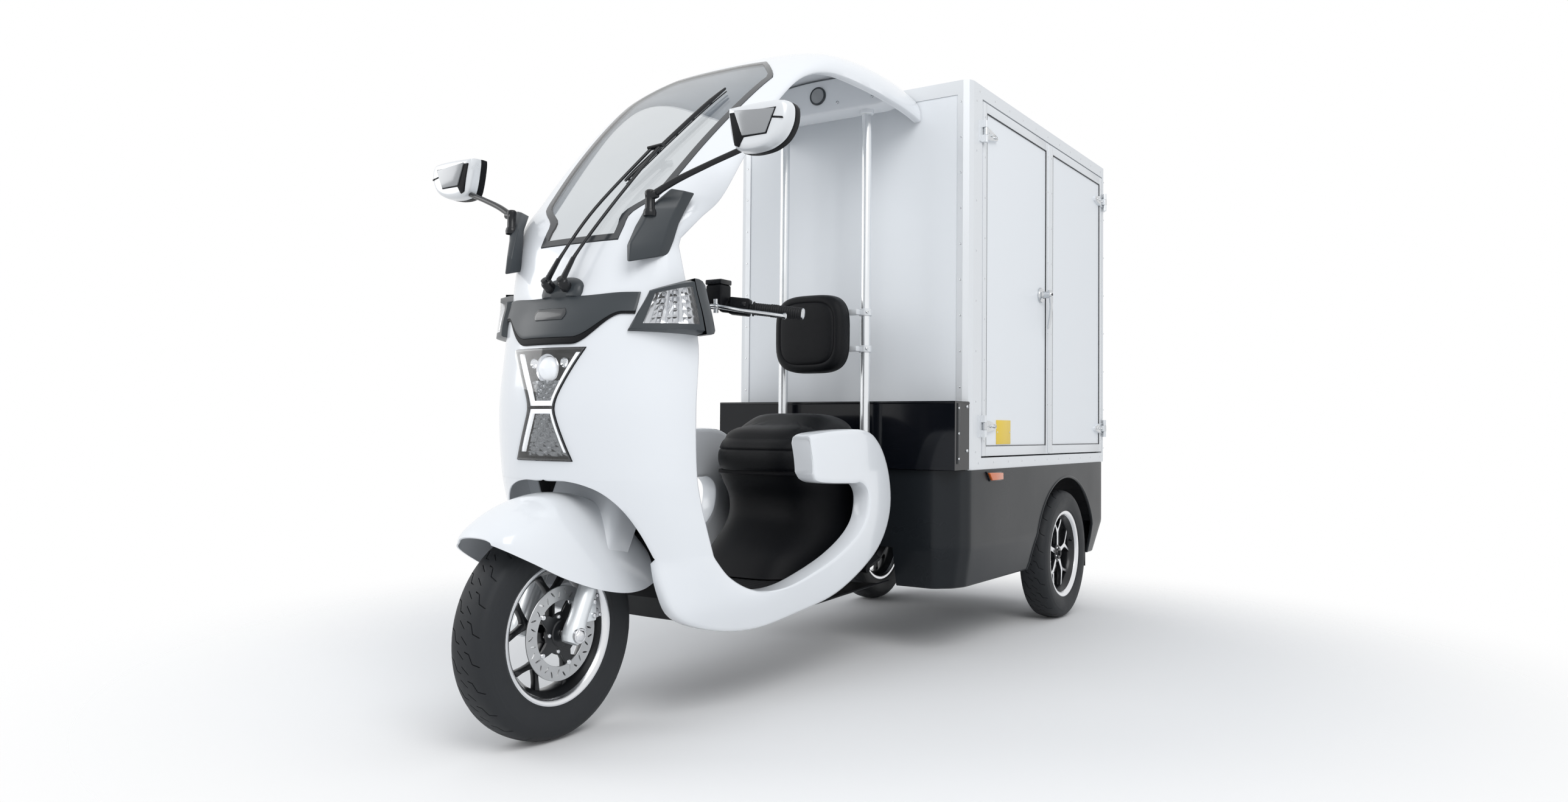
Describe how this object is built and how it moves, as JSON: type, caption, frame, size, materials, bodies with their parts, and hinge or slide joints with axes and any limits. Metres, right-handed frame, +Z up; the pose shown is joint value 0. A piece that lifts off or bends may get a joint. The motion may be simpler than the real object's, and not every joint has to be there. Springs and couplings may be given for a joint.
{
  "type": "three-wheeled cargo scooter",
  "caption": "Electric three-wheeler with a white leg-shield fairing, roofed saddle, a tray and a box with two left side doors over the rear axle.",
  "frame": {"origin": "centre of the bounding box on the ground the tyres stand on", "axes": "the vehicle faces -Y, its left side is +X, +Z up"},
  "size_m": [1.1884, 3.09, 1.893],
  "materials": {
    "tyre_rubber": "matt black rubber",
    "wheel_alloy": "satin cast alloy",
    "disc_steel": "ground steel",
    "fork_alloy": "satin",
    "white_paint": "gloss white over plastic bodywork",
    "dark_grey_trim": "satin dark grey",
    "dark_grey_paint": "satin dark grey",
    "black_plastic": "grained black",
    "black_gloss": "gloss black",
    "black_vinyl": "black seat vinyl",
    "black_steel": "black powder coat",
    "box_panel": "satin white sheet",
    "box_alloy": "white-silver extrusion",
    "chrome": "polished",
    "clear_lens": "clear lamp lens",
    "amber_lens": "amber lens",
    "red_lens": "red lens",
    "tinted_glass": "grey tinted clear sheet"
  },
  "bodies": {
    "frame_and_bodywork": {"chassis_frame": "black_steel", "battery_pack": "black_steel", "rear_axle": "black_steel", "front_shell": "white_paint", "front_trim_panel": "dark_grey_trim", "headlight": "clear_lens", "canopy_shell": "white_paint", "windscreen": "tinted_glass", "roof_beam": "white_paint", "backrest": "black_vinyl", "floor_board": "black_plastic", "belly_pan": "black_plastic", "inner_panel": "black_plastic", "seat_base": "black_plastic", "seat_cushion": "black_vinyl", "wiper": "black_plastic", "box_frame": "box_alloy", "box_front_panel": "box_panel", "box_rear_panel": "box_panel", "box_right_panel": "box_panel", "box_roof_panel": "box_panel", "tray": "black_gloss", "rear_skirt": "dark_grey_paint", "tail_lamp_left": "red_lens", "tail_lamp_right": "red_lens", "marker_lamp_left": "amber_lens", "marker_lamp_right": "amber_lens", "side_hoop_left": "white_paint", "side_hoop_right": "white_paint", "indicator_left": "clear_lens", "indicator_right": "clear_lens", "mirror_left": "dark_grey_trim", "mirror_right": "dark_grey_trim", "post_left": "box_alloy", "post_right": "box_alloy", "wheel_liner_left": "black_plastic", "wheel_liner_right": "black_plastic"},
    "steering": {"fork": "fork_alloy", "brake_caliper": "fork_alloy", "front_fender": "white_paint", "handlebar": "black_plastic"},
    "front_wheel": {"front_tyre": "tyre_rubber", "front_rim": "wheel_alloy", "brake_disc": "disc_steel"},
    "rear_left_wheel": {"rear_left_tyre": "tyre_rubber", "rear_left_rim": "wheel_alloy"},
    "rear_right_wheel": {"rear_right_tyre": "tyre_rubber", "rear_right_rim": "wheel_alloy"},
    "cargo_door_front": {"door_front": "box_panel", "door_handle": "chrome"},
    "cargo_door_rear": {"door_rear": "box_panel"}
  },
  "joints": [
    {"name": "steering_turn", "type": "hinge", "parent": "frame_and_bodywork", "child": "steering", "pos_m": [0, -1.2497, 0.2289], "axis": [0, 0.4226, 0.9063], "range_deg": [-35, 35]},
    {"name": "front_wheel_roll", "type": "hinge", "parent": "steering", "child": "front_wheel", "pos_m": [0, -1.295, 0.25], "axis": [1, 0, 0], "continuous": true},
    {"name": "rear_left_wheel_roll", "type": "hinge", "parent": "frame_and_bodywork", "child": "rear_left_wheel", "pos_m": [0.405, 1.045, 0.25], "axis": [1, 0, 0], "continuous": true},
    {"name": "rear_right_wheel_roll", "type": "hinge", "parent": "frame_and_bodywork", "child": "rear_right_wheel", "pos_m": [-0.405, 1.045, 0.25], "axis": [1, 0, 0], "continuous": true},
    {"name": "cargo_door_front_swing", "type": "hinge", "parent": "frame_and_bodywork", "child": "cargo_door_front", "pos_m": [0.469, 0.198, 1.2335], "axis": [0, 0, -1], "range_deg": [0, 170]},
    {"name": "cargo_door_rear_swing", "type": "hinge", "parent": "frame_and_bodywork", "child": "cargo_door_rear", "pos_m": [0.469, 1.499, 1.2335], "axis": [0, 0, 1], "range_deg": [0, 170]}
  ]
}
